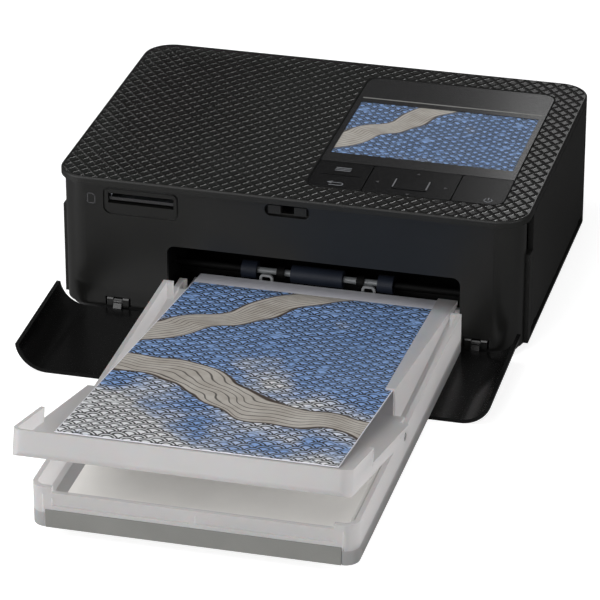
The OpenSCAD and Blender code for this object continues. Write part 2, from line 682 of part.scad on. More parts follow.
module left_frame_plate() color("#a9adb0") place() difference() {
    union() {
        box([left_frame_x, frame_y0, base_top_z + 0.1], [left_frame_x + frame_t, frame_y1, frame_top_z]);
        box([left_frame_x - 8, frame_y1 - 20, base_top_z + 0.1], [left_frame_x + 0.1, frame_y1, base_top_z + 1.3]);
        // Studs for the idler gears
        rod_x(gear_x - 0.8, left_frame_x + 0.1, idler_y, idler_z, idler_bore);
        rod_x(gear_x - 0.8, left_frame_x + 0.1, step_y, step_z, step_bore);
        for (g = [[idler_y, idler_z], [step_y, step_z]])
            rod_x(left_frame_x - 0.8, left_frame_x + 0.1, g[0], g[1], step_bore + 1.2);
    }
    shaft_bores(left_frame_x, run_gap);
    rod_x(left_frame_x - 1, left_frame_x + 3, takeup_y, spool_z, hub_r + run_gap);
}

module right_frame_plate() color("#a9adb0") place() difference() {
    union() {
        box([right_frame_x, frame_y0, base_top_z + 0.1], [right_frame_x + frame_t, frame_y1, frame_top_z]);
        box([right_frame_x, frame_y1 - 20, base_top_z + 0.1], [right_frame_x + 8, frame_y1, base_top_z + 1.3]);
    }
    shaft_bores(right_frame_x, run_gap);
    for (y = [supply_y, takeup_y]) rod_x(right_frame_x - 1, right_frame_x + 3, y, spool_z, tube_r + 0.4);
    box([right_frame_x - 1, supply_y, spool_z - 6], [right_frame_x + 3, takeup_y, spool_z + 8.4]);
}

module frame_cross_bar() color("#a9adb0") place() {
    box([left_frame_x + frame_t + 0.1, 10, frame_top_z - 6], [right_frame_x - 0.1, 22, frame_top_z - 4.8]);
    box([left_frame_x + frame_t + 0.1, 10, frame_top_z - 12], [right_frame_x - 0.1, 11.2, frame_top_z - 5]);
}

guide_tab_x = [path_x - 23.6, path_x + 16.8];
guide_y = feed_y + 4.4;
guide_d = 21.6;
guide_t = 1.2;
guide_top_z = path_z - 4;
loop_y = feed_y - 2.8;
loop_z = 6.4;
module paper_guide() color("#9fa3a4") place() {
    box([left_frame_x + frame_t + 0.3, guide_y, base_top_z + 0.1],
        [right_frame_x - 0.3, guide_y + guide_t, guide_top_z]);
    box([left_frame_x + frame_t + 0.3, guide_y, guide_top_z - guide_t],
        [right_frame_x - 0.3, guide_y + guide_d, guide_top_z]);
    for (x = guide_tab_x) {
        box([x - 2.3, loop_y - 1, loop_z], [x + 2.3, guide_y + 0.1, loop_z + 1]);
        translate([x, loop_y, loop_z]) rotate([90, 0, 0]) linear_extrude(1) difference() {
            union() {
                round_rect([-2.7, 0], [2.7, 7.3], 1.7);
                translate([-2.7, 0]) square([5.4, 3]);
            }
            round_rect([-1.8, 1.6], [1.8, 6.4], 0.9);
        }
        box([x - 0.5, guide_y - 1.4, loop_z], [x + 0.5, guide_y + 0.2, guide_top_z - 0.1]);
    }
}

module feed_roller() color("#27303f") place() {
    rod_x(gear_x - 0.6, right_frame_x + frame_t + 1, feed_y, feed_z, shaft_r);
    for (r = [[path_x - 33.8, 6], [path_x - 14.2, 20.4], [path_x + 20, 6]])
        rod_x(r[0], r[0] + r[1], feed_y, feed_z, feed_d / 2);
    for (x = [path_x - 18.5, path_x + 13]) rod_x(x - 1.5, x + 1.5, feed_y, feed_z, 2.2);
    translate([gear_x, feed_y, feed_z]) gear_x_axis(feed_teeth, feed_phase, 0);
}

idler_phase = 3;
feed_dir = atan2(feed_z - idler_z, feed_y - idler_y);
platen_dir = atan2(platen_z - idler_z, platen_y - idler_y);
feed_phase = mesh_phase(feed_dir, idler_phase, idler_teeth, feed_teeth);
platen_phase = mesh_phase(platen_dir, idler_phase, idler_teeth, platen_teeth);
motor_phase = mesh_phase(motor_angle, idler_phase, idler_teeth, motor_teeth);
step_phase = mesh_phase(capstan_rise, platen_phase, platen_teeth, capstan_teeth);
capstan_phase = mesh_phase(capstan_rise, step_phase, capstan_teeth, capstan_teeth);

module capstan_idler_gear() color("#e8e4d8") place() translate([gear_x, step_y, step_z])
    gear_x_axis(capstan_teeth, step_phase, step_bore + run_gap);

module feed_idler_gear() color("#e8e4d8") place() translate([gear_x, idler_y, idler_z])
    gear_x_axis(idler_teeth, idler_phase, idler_bore + run_gap);

module feed_motor() color("#7d8084") place() {
    rod_x(-half_w + 9, gear_x - 2.9, motor_y, motor_z, motor_r);
    rod_x(gear_x - 3.1, gear_x - 2, motor_y, motor_z, 4);
    // Bracket that ties the motor to the frame plate, and the idler's axle
    difference() {
        box([gear_x - 3, motor_y - motor_r - 2, motor_z - motor_r - 1],
            [gear_x - 1.8, motor_y + motor_r + 2, motor_z + motor_r + 1]);
        rod_x(gear_x - 4, gear_x, motor_y, motor_z, 3);
    }
    box([gear_x - 3, motor_y + motor_r, motor_z - 6], [left_frame_x - 0.1, motor_y + motor_r + 2, motor_z + 6]);
}

module feed_motor_pinion() color("#c8a24a") place() {
    translate([gear_x, motor_y, motor_z]) gear_x_axis(motor_teeth, motor_phase, 0);
    rod_x(gear_x - 2, gear_x + 0.1, motor_y, motor_z, 1.2);
}

module platen_roller() color("#303030") place() {
    rod_x(gear_x - 0.6, right_frame_x + frame_t + 1, platen_y, platen_z, shaft_r);
    rod_x(head_x0, head_x0 + head_len, platen_y, platen_z, platen_d / 2);
    translate([gear_x, platen_y, platen_z]) gear_x_axis(platen_teeth, platen_phase, 0);
}

module capstan_roller() color("#b7babd") place() {
    rod_x(gear_x - 0.6, right_frame_x + frame_t + 0.6, capstan_y, capstan_z, shaft_r);
    rod_x(head_x0, head_x0 + head_len, capstan_y, capstan_z, capstan_d / 2);
    translate([gear_x, capstan_y, capstan_z]) gear_x_axis(capstan_teeth, capstan_phase, 0);
}

module pinch_roller() color("#3a3a3a") place() {
    rod_x(left_frame_x - 0.4, right_frame_x + frame_t + 0.6, capstan_y, pinch_z, shaft_r);
    rod_x(head_x0, head_x0 + head_len, capstan_y, pinch_z, pinch_d / 2);
}

module thermal_head() color("#8d9194") place() difference() {
    union() {
        box([head_x0, platen_y - 5, 14.6], [head_x0 + head_len, platen_y + 5, 20]);
        box([head_x0 + 4, platen_y - 1, 14.1], [head_x0 + head_len - 4, platen_y + 1, 14.7]);
        box([head_x0, platen_y - 1.5, 19.9], [head_x0 + head_len, platen_y + 1.5, head_pivot_z + 2]);
        for (x = [head_x0 + 4, head_x0 + head_len - 8])
            box([x, platen_y - 1.5, head_pivot_z - 2.4], [x + 4, head_pivot_y + 2.8, head_pivot_z + 2]);
    }
    rod_x(head_x0 - 1, head_x0 + head_len + 1, head_pivot_y, head_pivot_z, head_rod_r + run_gap);
}

module head_pivot_rod() color("#c4c7ca") place()
    rod_x(left_frame_x - 0.5, right_frame_x + frame_t + 0.5, head_pivot_y, head_pivot_z, head_rod_r);

module ribbon_motor() color("#7d8084") place() {
    rod_x(gear_x - 20, gear_x - 1.6, ribbon_y, ribbon_z, ribbon_motor_r);
    box([gear_x - 3, ribbon_y + ribbon_motor_r - 1.4, ribbon_z - 4],
        [left_frame_x - 0.1, ribbon_y + ribbon_motor_r + 0.4, ribbon_z + 4]);
}

ribbon_phase = mesh_phase(ribbon_angle, 0, ribbon_teeth, motor_teeth);

module ribbon_pinion() color("#c8a24a") place() {
    translate([gear_x, ribbon_y, ribbon_z]) gear_x_axis(motor_teeth, ribbon_phase, 0);
    rod_x(gear_x - 1.4, gear_x + 0.1, ribbon_y, ribbon_z, 1.1);
}

module ribbon_drive_gear() color("#e8e4d8") place() {
    translate([gear_x, takeup_y, spool_z]) gear_x_axis(ribbon_teeth, 0, 0);
    rod_x(gear_x, left_frame_x + frame_t + 3, takeup_y, spool_z, hub_r);
    rod_x(left_frame_x + frame_t + 2.8, left_frame_x + frame_t + 5, takeup_y, spool_z, 3.2);
}

// Half-open tube round a spool, with the two end plates that join both tubes
module cartridge_shell() color("#3b3d40") place() difference() {
    union() {
        for (y = [supply_y, takeup_y]) rod_x(shell_x0, shell_x1, y, spool_z, tube_r);
        box([shell_x0, supply_y, spool_z - 4], [shell_x0 + 2, takeup_y, spool_z + 8]);
        box([shell_x1 - 5, supply_y, spool_z - 4], [shell_x1, takeup_y, spool_z + 8]);
        box([shell_x1 - 0.1, supply_y + 8, spool_z - 5], [shell_x1 + 3, takeup_y - 8, spool_z + 6]);
    }
    for (y = [supply_y, takeup_y]) {
        rod_x(shell_x0 + 2, shell_x1 - 2, y, spool_z, tube_r - shell_wall);
        rod_x(shell_x0 - 1, shell_x1 - 1, y, spool_z, hub_r + 0.8 + run_gap);
    }
    // Slots that let the ribbon out of the tubes
    box([shell_x0 + 5, supply_y, spool_z - tube_r - 1], [shell_x1 - 5, supply_y + 6, spool_z - 5]);
    box([shell_x0 + 5, takeup_y - 6, spool_z - tube_r - 1], [shell_x1 - 5, takeup_y, spool_z - 5]);
}

module spool(y, wound_d) {
    difference() {
        rod_x(shell_x0 + 0.2, shell_x1 - 1.4, y, spool_z, hub_r + 0.8);
        rod_x(shell_x0 - 1, shell_x0 + 4, y, spool_z, 1.2);
    }
    rod_x(shell_x0 + 2.4, shell_x1 - 2.4, y, spool_z, core_r);
    rod_x(path_x - sheet_w / 2, path_x + sheet_w / 2, y, spool_z, wound_d / 2);
}

module supply_spool() color("#c98f2e") place() spool(supply_y, spool_d);
module takeup_spool() color("#6a6f75") place() spool(takeup_y, spool_d * 0.7);

// ---------------------------------------------------------------- ink door

module ink_door() color("#232323") place() difference() {
    union() {
        box([half_w - door_t, door_y0 + seam, door_pin_z], [half_w, door_y1 - seam, case_top_z]);
        // Lower edge rounded about the hinge pins
        along_y(door_y0 + seam, door_y1 - seam) intersection() {
            translate([door_pin_x, door_pin_z]) circle(door_edge_r);
            translate([half_w - door_t, door_low_z]) square([door_t, door_edge_r + 0.1]);
        }
        for (y = door_knuckles) {
            rod_y(y, y + 6, door_pin_x, door_pin_z, door_pin_r + 0.9);
            box([door_pin_x, y, door_pin_z - 0.6], [half_w - 1, y + 6, door_pin_z + 2.1]);
        }
    }
    for (y = door_knuckles) rod_y(y - 1, y + 7, door_pin_x, door_pin_z, door_pin_r + run_gap);
    // Cut-outs for the bearing ears
    for (y = door_ears) box([half_w - door_t - 1, y - 0.3, door_low_z - 1], [half_w + 1, y + ear_w + 0.3, door_pin_z]);
}
door_knuckles = [door_y0 + 8.2, door_y1 - 14.2];

module ink_door_pins() color("#9b9ea1") place() for (y = [door_y0 + 4.6, door_y1 - 14.4])
    rod_y(y, y + 9.8, door_pin_x, door_pin_z, door_pin_r);

// ---------------------------------------------------------------- front cover

// Cross-section of the open cover across the body: a flat floor with its ends turned up
module cover_section(inset, height) {
    w = cover_half_w - inset;
    r = corner_r - inset;
    difference() {
        union() {
            translate([-w + r, inset]) square([2 * (w - r), r]);
            for (s = [-1, 1]) translate([s * (w - r), r + inset]) circle(r);
            translate([-w, r + inset]) square([2 * w, height]);
        }
        translate([-w - 1, height]) square([2 * w + 2, 40]);
    }
}

module front_cover() color("#1d1d1d") place()
    translate([0, cover_pin_y, cover_pin_z]) rotate([cover_slope, 0, 0]) difference() {
        union() {
            translate([0, 0, -cover_low]) difference() {
                along_y(-cover_len - cover_pin_y, -cover_pin_y - 0.4) cover_section(0, cover_wrap);
                along_y(-cover_len - 10, 10) cover_section(cover_t, 30);
            }
            // Hinge arms that reach under the front panel to the pins
            for (x = cover_pin_spots) difference() {
                union() {
                    rod_x(x - cover_arm_w / 2, x + cover_arm_w / 2, 0, 0, cover_pin_r + 0.8);
                    along_x(x - cover_arm_w / 2, x + cover_arm_w / 2) polygon([[-cover_pin_y - 1, 0.4 - cover_low],
                        [-cover_pin_y - 1, cover_t - cover_low - 0.1],
                        [-cover_pin_y - 0.3, cover_t - cover_low - 0.1], [-1.3, 1.2], [0, 0], [0, -1.6]]);
                }
                rod_x(x - 4, x + 4, 0, 0, cover_pin_r + run_gap);
            }
        }
    }

module front_cover_pins() color("#9b9ea1") place() for (x = cover_pin_spots)
    rod_x(x - lug_offset - 1.1, x + lug_offset + 1.1, cover_pin_y, cover_pin_z, cover_pin_r);

// ---------------------------------------------------------------- cassette

// Cassette outline: full width in front of the body, a narrower neck inside it
module tray_outline(inset) {
    w = tray_w / 2 - inset;
    n = tray_neck_w / 2 - inset;
    translate([cass_x, 0]) {
        round_rect([-w, -tray_out + inset], [w, shoulder_y - inset], tray_corner_r - inset);
        translate([-w, -tray_out / 2]) square([2 * w, tray_out / 2 + shoulder_y - inset]);
        translate([-n, -20]) square([2 * n, neck_step_y + 20 - inset]);
        translate([-n + neck_step_w, -20]) square([2 * (n - neck_step_w), tray_in + 20 - inset]);
    }
}

module tray_ring(z0, z1, wall) translate([0, 0, z0]) linear_extrude(z1 - z0) difference() {
    tray_outline(0);
    tray_outline(wall);
}

module cassette_base() color("#7b7b78") place() difference() {
    union() {
        tray_ring(tray_low_z, base_edge_z, tray_wall);
        translate([0, 0, tray_low_z]) linear_extrude(floor_t) tray_outline(0);
    }
    box([grip_x0 - 0.2, -tray_out - 1, tray_low_z - 1], [grip_x1 + 0.2, -tray_out + tray_wall + 0.2, base_edge_z + 1]);
    // Holes for the platform's pins
    for (s = [-1, 1]) rod_x(cass_x + s * tray_w / 2 - 3, cass_x + s * tray_w / 2 + 3, platform_y0, lift_z,
        lift_pin_r + run_gap);
}
grip_w = 104.8;
grip_h = 6.8;
grip_x0 = cass_x - grip_w / 2;
grip_x1 = cass_x + grip_w / 2;
lift_z = stack_low_z - platform_t / 2;

module cassette_grip() color("#6f6f6c") place() {
    box([grip_x0, -tray_out - 0.2, tray_low_z], [grip_x1, -tray_out + tray_wall, tray_low_z + grip_h]);
}

module cassette_case() color("#c4c6c3", 0.8) place() difference() {
    union() {
        tray_ring(base_edge_z, tray_top_z, tray_wall);
    }
    // The neck inside the body is lower, and its rear wall is lowest
    box([-half_w, shoulder_y, neck_top_z], [half_w, tray_in + 1, tray_top_z + 1]);
    box([cass_x - tray_neck_w / 2 + 3, 5, 10], [cass_x + tray_neck_w / 2 - 3, tray_in + 1, tray_top_z]);
    // Front wall is lower than the sides
    box([cass_x - tray_w / 2 + 8, -tray_out - 1, tray_top_z - 2], [cass_x + tray_w / 2 - 8, -tray_out + 4, tray_top_z + 1]);
    // Finger groove above the grip
    for (x = [[grip_x0 + 2.4, cass_x - 1.1], [cass_x + 1.1, grip_x1 - 1.6]])
        box([x[0], -tray_out - 1, tray_low_z + grip_h + 1.6], [x[1], -tray_out + 0.9, tray_low_z + grip_h + 4.7]);
    // Slits beside the corner posts
    for (x = [grip_x0 - 0.9, grip_x1 + 0.6]) box([x, -tray_out - 1, tray_low_z - 1], [x + 0.3, -tray_out + 0.8, tray_top_z - 2.6]);
    box([grip_x0 - 0.2, -tray_out - 1, 0], [grip_x1 + 0.2, -tray_out + tray_wall + 0.2, tray_low_z + grip_h + 0.15]);
    // Bores for the output lid's pins
    for (s = [-1, 1]) rod_x(cass_x + s * tray_w / 2 - 3, cass_x + s * tray_w / 2 + 3, lid_pivot_y, lid_pivot_z,
        lid_pin_r + run_gap);
}

inner_half_w = tray_w / 2 - tray_wall - 0.3;

module inner_lid() color("#c4c6c3", 0.8) place() {
    box([cass_x - inner_half_w, inner_lid_y0, inner_lid_z],
        [cass_x + inner_half_w, shoulder_y - 2.4, inner_lid_z + inner_lid_t]);
    box([cass_x - inner_half_w + 2.25, shoulder_y - 3, inner_lid_z],
        [cass_x + inner_half_w - 2.25, inner_lid_y1, inner_lid_z + inner_lid_t]);
    // Guide along the right edge of the print, with a lip above it
    along_x(sheet_x + sheet_w / 2 + edge_gap, sheet_x + sheet_w / 2 + edge_gap + lip_t)
        polygon([[lip_y0, inner_lid_z + 0.1], [lip_y0, lip_z(lip_y0)], [lip_y1, lip_z(lip_y1)], [lip_y1, inner_lid_z + 0.1]]);
    sheet_frame() translate([0, 0, sheet_t + 0.15]) linear_extrude(lip_t)
        polygon([[sheet_w / 2 + edge_gap + lip_t, lip_y1 - sheet_rear_y], [sheet_w / 2 - lip_rear_w, lip_y1 - sheet_rear_y],
            [sheet_w / 2 - lip_front_w, (lip_y0 - sheet_rear_y) / cos(sheet_angle)],
            [sheet_w / 2 + edge_gap + lip_t, (lip_y0 - sheet_rear_y) / cos(sheet_angle)]]);
}

platform_half_w = sheet_w / 2 + 0.3;
module paper_platform() color("#8a8d8f") place() {
    box([cass_x - platform_half_w, platform_y0, stack_low_z - platform_t],
        [cass_x + platform_half_w, tray_in - 3, stack_low_z]);
    for (s = [-1, 1]) rod_x(cass_x + s * (platform_half_w + tray_w / 2) / 2 - lift_pin_len / 2,
        cass_x + s * (platform_half_w + tray_w / 2) / 2 + lift_pin_len / 2, platform_y0, lift_z, lift_pin_r);
}

module paper_stack() color("#f4f4f2") place()
    box([sheet_x - sheet_w / 2, tray_in - tray_wall - tray_room / 2 - sheet_len, stack_low_z + 0.02],
        [sheet_x + sheet_w / 2, tray_in - tray_wall - tray_room / 2, stack_low_z + stack_h]);

// ---------------------------------------------------------------- output lid

// Places lid parts: u runs forward from the hinge, h is the height above the hinge
module lid_frame() translate([cass_x, lid_pivot_y, lid_pivot_z]) rotate([-lid_angle, 0, 0]) children();

module output_lid() color("#c4c6c3", 0.8) place() lid_frame() difference() {
    union() {
        difference() {
            // Rounded tray body
            translate([0, 0, lid_floor_h - lid_skirt]) linear_extrude(lid_skirt + lid_lip_h)
                translate([-lid_half_w, -lid_len]) union() {
                    translate([0, 4]) square([2 * lid_half_w, lid_len - 4 - lid_wide_u]);
                    translate([4, 0]) square([2 * lid_half_w - 8, 10]);
                    for (x = [4, 2 * lid_half_w - 4]) translate([x, 4]) circle(4);
                }
            // Space above the floor
            translate([0, 0, lid_floor_h]) linear_extrude(20)
                translate([-lid_half_w + lid_wall, -lid_len + lid_wall]) union() {
                    translate([0, 2.5]) square([2 * (lid_half_w - lid_wall), lid_len]);
                    translate([2.5, 0]) square([2 * (lid_half_w - lid_wall) - 5, 10]);
                    for (x = [2.5, 2 * (lid_half_w - lid_wall) - 2.5]) translate([x, 2.5]) circle(2.5);
                }
            // Space under the floor, inside the skirt
            translate([0, 0, -10]) linear_extrude(10 + lid_floor_h - lid_floor_t)
                translate([-lid_half_w + 1.1, -lid_len + lid_wall]) union() {
                    translate([0, 2.5]) square([2 * (lid_half_w - 1.1), lid_len]);
                    translate([2.5, 0]) square([2 * (lid_half_w - 1.1) - 5, 10]);
                    for (x = [2.5, 2 * (lid_half_w - 1.1) - 2.5]) translate([x, 2.5]) circle(2.5);
                }
            // Side walls stand up only at the front corners
            box([-lid_half_w - 1, -lid_tab_u, lid_floor_h], [lid_half_w + 1, 10, 30]);
            // The skirt starts in front of the cassette's wall
            box([-lid_half_w - 1, -lid_skirt_u, -10], [lid_half_w + 1, 10, lid_floor_h - lid_floor_t]);
            // Slits behind the raised corners
            box([-lid_half_w - 1, -lid_tab_u - 1, lid_floor_h - 1.2], [-lid_half_w + lid_wall + 0.5,
                -lid_tab_u - 1 + lid_slit, 30]);
            box([lid_half_w - lid_wall - 0.5, -lid_tab_u - 1, lid_floor_h - 1.2], [lid_half_w + 1,
                -lid_tab_u - 1 + lid_slit, 30]);
        }
        // Narrow rear part of the floor and the two hinge ears
        box([-lid_ear_x, -lid_wide_u - 0.1, lid_floor_h - lid_floor_t], [lid_ear_x, -lid_rear_u, lid_floor_h]);
        for (s = [-1, 1]) {
            box([s * (lid_ear_x - lid_ear_w / 2) - lid_ear_w / 2, -5, 0],
                [s * (lid_ear_x - lid_ear_w / 2) + lid_ear_w / 2, 4, lid_floor_h - 0.2]);
            rod_x(s * (lid_ear_x - lid_ear_w / 2) - lid_ear_w / 2, s * (lid_ear_x - lid_ear_w / 2) + lid_ear_w / 2,
                0, 0, lid_pin_r + 1.2);
        }
    }
    // Rounded lower edge of the front lip
    along_x(-lid_half_w - 1, lid_half_w + 1) difference() {
        translate([-lid_len - 1, lid_floor_h - lid_skirt - 1]) square([lid_bend_r + 1, lid_bend_r + 1]);
        translate([-lid_len + lid_bend_r, lid_floor_h - lid_skirt + lid_bend_r]) circle(lid_bend_r);
    }
    for (s = [-1, 1]) rod_x(s * lid_ear_x - 5, s * lid_ear_x + 5, 0, 0, lid_pin_r + 0.01);
}
lid_ear_x = tray_w / 2 - tray_wall - 0.4;

module output_lid_pins() color("#b0b3b5") place() lid_frame() for (s = [-1, 1])
    rod_x(s * (tray_w / 2 - 2.6) - 2.4, s * (tray_w / 2 - 2.6) + 2.4, 0, 0, lid_pin_r);

// Places parts in the plane of the print, with its rear edge on the x axis
module sheet_frame() translate([sheet_x, sheet_rear_y, sheet_rear_z]) rotate([-sheet_angle, 0, 0]) children();

module printed_sheet() color("#8fb3e0") place()
    sheet_frame() translate([-sheet_w / 2, -sheet_len, 0]) cube([sheet_w, sheet_len, sheet_t]);

base_pan();
rubber_feet();
base_screws();
outer_case();
front_panel();
top_cover();
control_panel();
lcd_display();
menu_back_key();
nav_key();
ok_key();
power_key();
panel_board();
main_board();
card_reader();
latch_catch();
power_jack();
usb_port();
left_frame_plate();
right_frame_plate();
frame_cross_bar();
paper_guide();
feed_roller();
feed_idler_gear();
capstan_idler_gear();
feed_motor();
feed_motor_pinion();
platen_roller();
capstan_roller();
pinch_roller();
thermal_head();
head_pivot_rod();
ribbon_motor();
ribbon_pinion();
ribbon_drive_gear();
cartridge_shell();
supply_spool();
takeup_spool();
ink_door();
ink_door_pins();
front_cover();
front_cover_pins();
cassette_base();
cassette_case();
cassette_grip();
inner_lid();
paper_platform();
paper_stack();
output_lid();
output_lid_pins();
printed_sheet();
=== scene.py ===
import bmesh
import bpy
import json
import math
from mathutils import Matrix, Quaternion, Vector


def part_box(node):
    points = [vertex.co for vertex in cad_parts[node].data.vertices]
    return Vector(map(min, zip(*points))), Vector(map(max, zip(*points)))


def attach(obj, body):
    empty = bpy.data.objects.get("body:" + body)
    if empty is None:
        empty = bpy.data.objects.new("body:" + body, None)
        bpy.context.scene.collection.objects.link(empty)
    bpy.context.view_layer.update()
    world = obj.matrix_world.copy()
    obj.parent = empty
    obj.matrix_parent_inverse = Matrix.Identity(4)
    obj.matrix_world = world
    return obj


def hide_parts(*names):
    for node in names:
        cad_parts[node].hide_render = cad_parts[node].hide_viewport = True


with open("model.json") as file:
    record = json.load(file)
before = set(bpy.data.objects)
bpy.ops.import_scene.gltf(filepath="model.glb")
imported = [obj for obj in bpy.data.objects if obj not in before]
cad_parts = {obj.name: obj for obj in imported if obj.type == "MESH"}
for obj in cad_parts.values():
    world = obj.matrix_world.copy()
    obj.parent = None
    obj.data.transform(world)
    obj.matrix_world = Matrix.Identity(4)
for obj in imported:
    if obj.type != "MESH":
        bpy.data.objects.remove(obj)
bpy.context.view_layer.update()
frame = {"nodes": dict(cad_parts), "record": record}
scene = bpy.context.scene
body_nodes = frame["record"]["behaviour"]["bodies"]

MM = 0.001
HALF_W, BODY_D, CORNER = 91.1, 133.0, 12.0  # printer's body: half width, depth and corner radius
MID_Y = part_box("outer_case")[1].y / MM - BODY_D


def fit(x, y, z):
    """Millimetres with y measured from the body's front, as metres in the row frame."""
    return Vector((x * MM, (y + MID_Y) * MM, z * MM))


def body_of(node):
    """Name of the body that carries a CAD piece."""
    return next(body for body, names in body_nodes.items() if node in names)


# ------------------------------------------------------------ camera
def photo_camera():
    """Camera at the photograph's place, found by fitting the body's edges to the picture."""
    data = bpy.data.cameras.new("camera")
    data.lens = 232.4698564
    data.sensor_width = 36
    data.sensor_fit = "HORIZONTAL"
    data.clip_start = 0.05
    data.clip_end = 20
    cam = bpy.data.objects.new("camera", data)
    scene.collection.objects.link(cam)
    cam.location = (0.33335586, -1.24163203, 0.67162444)
    cam.rotation_mode = "QUATERNION"
    cam.rotation_quaternion = Quaternion(
        (0.8440938152514271, 0.521106892254421, 0.06645867403256184, 0.10740801899794371))
    return cam


scene.camera = photo_camera()
scene.view_settings.view_transform = "Standard"


# ------------------------------------------------------------ node materials
class Nodes:
    """Small helper to wire a node material. Values are numbers or other nodes' sockets."""

    def __init__(self, name):
        self.mat = bpy.data.materials.new(name)
        self.mat.use_nodes = True
        self.tree = self.mat.node_tree
        self.bsdf = self.find("BSDF_PRINCIPLED")
        self.coord = self.add("ShaderNodeTexCoord").outputs["Object"]

    def find(self, kind):
        return next(node for node in self.tree.nodes if node.type == kind)

    def add(self, kind, **values):
        node = self.tree.nodes.new(kind)
        for key, value in values.items():
            setattr(node, key, value)
        return node

    def link(self, a, b):
        self.tree.links.new(a, b)

    def feed(self, value, socket):
        if isinstance(value, bpy.types.NodeSocket):
            self.link(value, socket)
        else:
            socket.default_value = value

    def set(self, **values):
        """Plain values of the principled shader, with _ for each space in the socket's name."""
        for key, value in values.items():
            self.feed(value, self.bsdf.inputs[key.replace("_", " ")])

    def surface(self, shader):
        self.link(shader, self.find("OUTPUT_MATERIAL").inputs["Surface"])

    def math(self, op, a, b=0.0):
        node = self.add("ShaderNodeMath", operation=op)
        for value, socket in zip((a, b), node.inputs):
            self.feed(value, socket)
        return node.outputs[0]

    def plus(self, a, b):
        return self.math("ADD", a, b)

    def minus(self, a, b):
        return self.math("SUBTRACT", a, b)

    def times(self, a, b):
        return self.math("MULTIPLY", a, b)

    def over(self, a, b):
        return self.math("DIVIDE", a, b)

    def size(self, a):
        return self.math("ABSOLUTE", a)

    def fraction(self, a):
        return self.math("FRACT", a)

    def split(self, vector):
        node = self.add("ShaderNodeSeparateXYZ")
        self.link(vector, node.inputs[0])
        return node.outputs

    def noise(self, scale, detail=2.0, rough=0.5, coord=None):
        node = self.add("ShaderNodeTexNoise")
        self.link(coord or self.coord, node.inputs["Vector"])
        node.inputs["Scale"].default_value = scale
        node.inputs["Detail"].default_value = detail
        node.inputs["Roughness"].default_value = rough
        return node.outputs["Fac"]

    def mapped(self, scale, offset=(0, 0, 0), coord=None):
        node = self.add("ShaderNodeMapping")
        self.link(coord or self.coord, node.inputs["Vector"])
        node.inputs["Scale"].default_value = scale
        node.inputs["Location"].default_value = offset
        return node.outputs["Vector"]

    def mix(self, fac, a, b):
        """Blend of two colours."""
        node = self.add("ShaderNodeMix", data_type="RGBA")
        for value, socket in ((fac, 0), (a, 6), (b, 7)):
            self.feed(value, node.inputs[socket])
        return node.outputs[2]

    def blend(self, fac, a, b):
        """Blend of two shaders."""
        node = self.add("ShaderNodeMixShader")
        for value, socket in ((fac, 0), (a, 1), (b, 2)):
            self.feed(value, node.inputs[socket])
        return node.outputs[0]

    def remap(self, value, a, b, c, d):
        """Value from the range a to b, moved to the range c to d and held inside it."""
        node = self.add("ShaderNodeMapRange")
        self.feed(value, node.inputs["Value"])
        for key, v in (("From Min", a), ("From Max", b), ("To Min", c), ("To Max", d)):
            node.inputs[key].default_value = v
        return node.outputs["Result"]

    def spread(self, noise, low, high):
        """Noise's usual range moved to low to high."""
        return self.remap(noise, 0.3, 0.7, low, high)

    def bump(self, height, strength):
        node = self.add("ShaderNodeBump")
        self.link(height, node.inputs["Height"])
        node.inputs["Strength"].default_value = strength
        node.inputs["Distance"].default_value = 0.2 * MM
        self.link(node.outputs["Normal"], self.bsdf.inputs["Normal"])


def rgb(code, gain=1.0):
    """sRGB hex to linear."""
    out = []
    for i in (0, 2, 4):
        v = int(code[i:i + 2], 16) / 255
        out.append((v / 12.92 if v <= 0.04045 else ((v + 0.055) / 1.055) ** 2.4) * gain)
    return (*out, 1.0)


def moulded(name, code, rough, vary=0.12, grain=1800, bump=0.08, spec=0.5, coat=0.0, mottled=60):
    """Moulded plastic, rubber or enamel: mottled a little in tone and with a fine grain."""
    n = Nodes(name)
    tone = n.noise(mottled, 3.0)
    fine = n.noise(grain)
    n.set(Base_Color=n.mix(n.spread(tone, 0, 1), rgb(code, 1 - vary), rgb(code, 1 + vary)),
        Roughness=n.spread(fine, rough - 0.04, rough + 0.04), Specular_IOR_Level=spec,
        Coat_Weight=coat, Coat_Roughness=0.12)
    n.bump(fine, bump)
    return n.mat


def metal(name, code, rough, stretch=(40, 40, 2500)):
    """Brushed or plated metal, streaked along one direction."""
    n = Nodes(name)
    streak = n.noise(1.0, 3.0, 0.6, n.mapped(stretch))
    n.set(Base_Color=n.mix(streak, rgb(code, 0.75), rgb(code, 1.15)),
        Roughness=n.spread(streak, rough - 0.08, rough + 0.08), Metallic=1.0)
    n.bump(streak, 0.06)
    return n.mat


def cloudy(name, code, alpha, rough=0.42, through=0.94):
    """Frosted, slightly see-through plastic that lets part of the light pass."""
    n = Nodes(name)
    big = n.noise(22, 3.0)
    fine = n.noise(1400)
    n.set(Base_Color=n.mix(n.spread(big, 0, 1), rgb(code, 0.95), rgb(code, 1.04)),
        Roughness=n.spread(fine, rough - 0.05, rough + 0.05),
        Alpha=n.spread(big, alpha - 0.04, alpha + 0.04),
        Subsurface_Weight=0.2, Subsurface_Scale=0.004)
    n.bump(fine, 0.05)
    glow = n.add("ShaderNodeBsdfTranslucent")
    glow.inputs["Color"].default_value = rgb(code, 1.1)
    body = n.blend(0.5, n.bsdf.outputs[0], glow.outputs[0])
    clear = n.add("ShaderNodeBsdfTransparent")
    clear.inputs["Color"].default_value = (0.97, 0.97, 0.97, 1)
    path = n.add("ShaderNodeLightPath")
    n.surface(n.blend(n.times(path.outputs["Is Shadow Ray"], through), body, clear.outputs[0]))
    return n.mat


